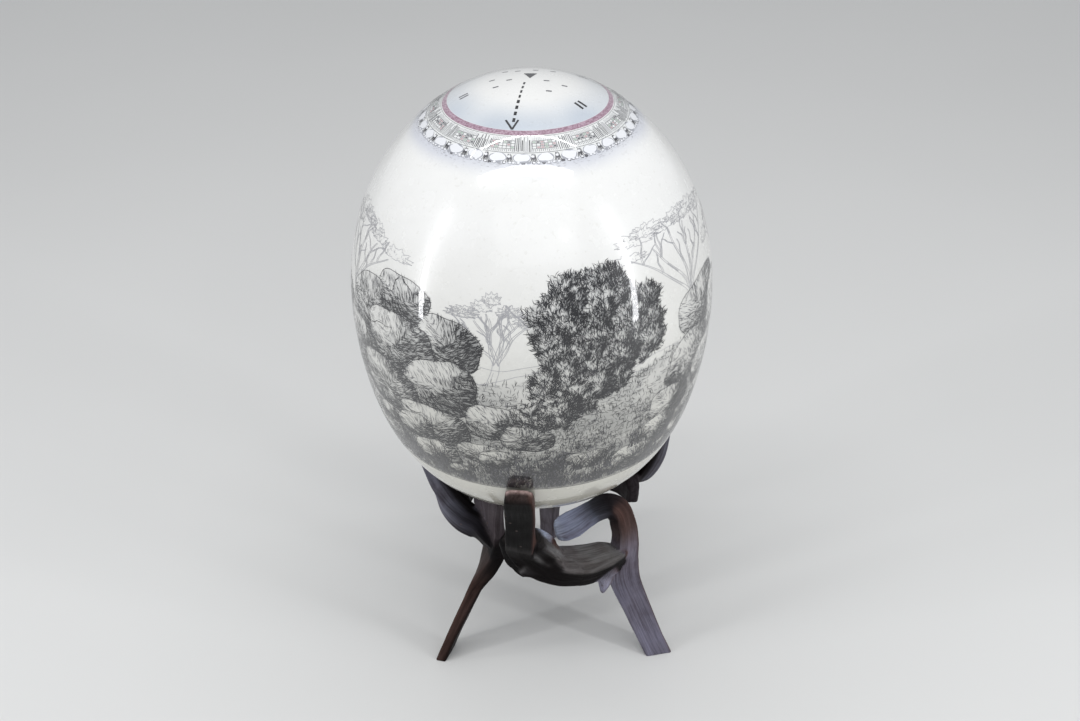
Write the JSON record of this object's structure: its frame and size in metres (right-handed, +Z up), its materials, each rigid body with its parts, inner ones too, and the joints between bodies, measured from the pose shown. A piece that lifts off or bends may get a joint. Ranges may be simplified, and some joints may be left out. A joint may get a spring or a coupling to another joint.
{
  "type": "decorated ostrich egg on stand",
  "caption": "Blown, lacquered ostrich egg with ink decoration, resting upright on a stand of interwoven carved hardwood strips that splay into feet and rise into cradling prongs.",
  "frame": {"origin": "on the table surface, at the centre of the footprint's bounding box, which is on the egg's long axis", "axes": "+Z up along the egg's long axis; -Y towards the front prong; +X to the right of the front"},
  "size_m": [0.126, 0.126, 0.2345],
  "materials": {
    "shell": "ivory-white eggshell under a clear gloss lacquer, with black and grey ink decoration",
    "hardwood": "dark-stained carved hardwood, near black to reddish brown, waxed, worn lighter along the edges"
  },
  "bodies": {
    "root": {"egg": "shell", "stand_leg_right": "hardwood", "stand_leg_left": "hardwood", "stand_leg_back": "hardwood"}
  },
  "joints": []
}
